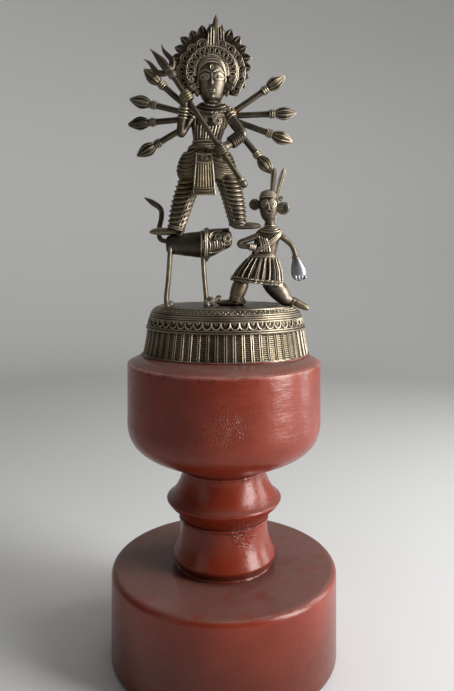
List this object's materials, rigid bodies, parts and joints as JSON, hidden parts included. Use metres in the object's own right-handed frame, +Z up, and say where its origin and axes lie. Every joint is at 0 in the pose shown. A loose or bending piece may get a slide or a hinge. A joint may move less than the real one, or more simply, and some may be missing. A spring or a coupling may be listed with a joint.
{
  "type": "brass durga idol on a stand",
  "caption": "Lost-wax brass group of a many-armed goddess with a sliding trident, standing on a lion and a demon, on a ribbed oval base and a turned red stand.",
  "frame": {"origin": "centre of the stand's underside", "axes": "+Z up, the group faces -Y, and its right hand points to -X"},
  "size_m": [0.166, 0.166, 0.4726],
  "materials": {
    "aged_brass": "dark olive-brown patina, rubbed bright on the high spots",
    "red_paint": "red oxide gloss paint on turned wood",
    "bare_wood": "unfinished"
  },
  "bodies": {
    "group": {"base_plinth": "aged_brass", "crown": "aged_brass", "crown_crest": "aged_brass", "demon_ear_plate_left": "aged_brass", "demon_ear_plate_right": "aged_brass", "demon_feather_left": "aged_brass", "demon_feather_right": "aged_brass", "demon_front_foot": "aged_brass", "demon_front_leg": "aged_brass", "demon_head": "aged_brass", "demon_left_arm": "aged_brass", "demon_left_hand": "aged_brass", "demon_rear_foot": "aged_brass", "demon_rear_leg": "aged_brass", "demon_right_arm": "aged_brass", "demon_skirt": "aged_brass", "demon_torso": "aged_brass", "earring_left": "aged_brass", "earring_right": "aged_brass", "goddess_apron": "aged_brass", "goddess_head": "aged_brass", "goddess_hips": "aged_brass", "goddess_left_foot": "aged_brass", "goddess_left_leg": "aged_brass", "goddess_right_foot": "aged_brass", "goddess_right_leg": "aged_brass", "goddess_torso": "aged_brass", "halo": "aged_brass", "left_arm_1": "aged_brass", "left_arm_2": "aged_brass", "left_arm_3": "aged_brass", "left_arm_4": "aged_brass", "left_fist": "aged_brass", "left_main_arm": "aged_brass", "lion_body": "aged_brass", "lion_foreleg_left": "aged_brass", "lion_foreleg_right": "aged_brass", "lion_head": "aged_brass", "lion_hindleg_left": "aged_brass", "lion_hindleg_right": "aged_brass", "lion_tail": "aged_brass", "right_arm_1": "aged_brass", "right_arm_2": "aged_brass", "right_arm_3": "aged_brass", "right_arm_4": "aged_brass", "right_fist": "aged_brass", "right_main_arm": "aged_brass", "stand_bead": "red_paint", "stand_collar": "red_paint", "stand_cup": "red_paint", "stand_dowel": "bare_wood", "stand_drum": "red_paint"},
    "trident": {"trident_shaft": "aged_brass", "trident_head": "aged_brass", "trident_knob": "aged_brass"}
  },
  "joints": [
    {"name": "trident_slide", "type": "slide", "parent": "group", "child": "trident", "axis": [-0.5476, 0, 0.8368], "range_m": [-0.012, 0.019]}
  ]
}
